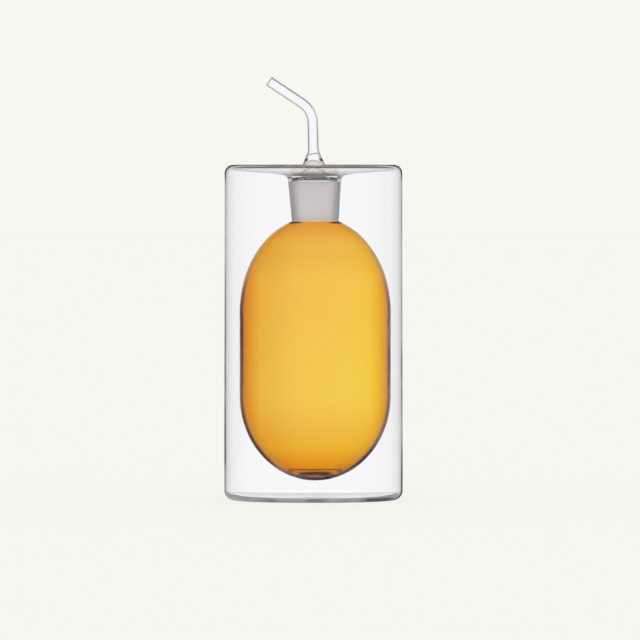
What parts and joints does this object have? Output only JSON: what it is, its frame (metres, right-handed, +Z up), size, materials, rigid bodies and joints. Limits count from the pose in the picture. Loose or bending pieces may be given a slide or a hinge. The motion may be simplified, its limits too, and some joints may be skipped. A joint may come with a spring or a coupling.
{
  "type": "oil cruet",
  "caption": "Double-walled glass oil cruet: clear cylindrical jacket, amber flask hung inside it, ground neck, and a lift-out hollow stopper drawn into a bent pouring spout.",
  "frame": {"origin": "centre of the flat foot, on the cruet's axis, at table height", "axes": "+Z up along the cruet's axis; the spout bends towards -X; +Y is away from the viewer of the picture; the part is symmetric about the plane y = 0"},
  "size_m": [0.075, 0.075, 0.1781],
  "materials": {
    "clear_glass": "clear, fire-polished borosilicate",
    "ground_glass": "clear glass with a fine-ground, frosted taper",
    "amber_glass": "amber, fire-polished borosilicate"
  },
  "bodies": {
    "vessel": {"outer_shell": "clear_glass", "neck_socket": "ground_glass", "inner_flask": "amber_glass"},
    "pourer": {"stopper": "ground_glass", "spout_tube": "clear_glass"}
  },
  "joints": [
    {"name": "pourer_lift", "type": "slide", "parent": "vessel", "child": "pourer", "axis": [0, 0, 1], "range_m": [0, 0.03]}
  ]
}
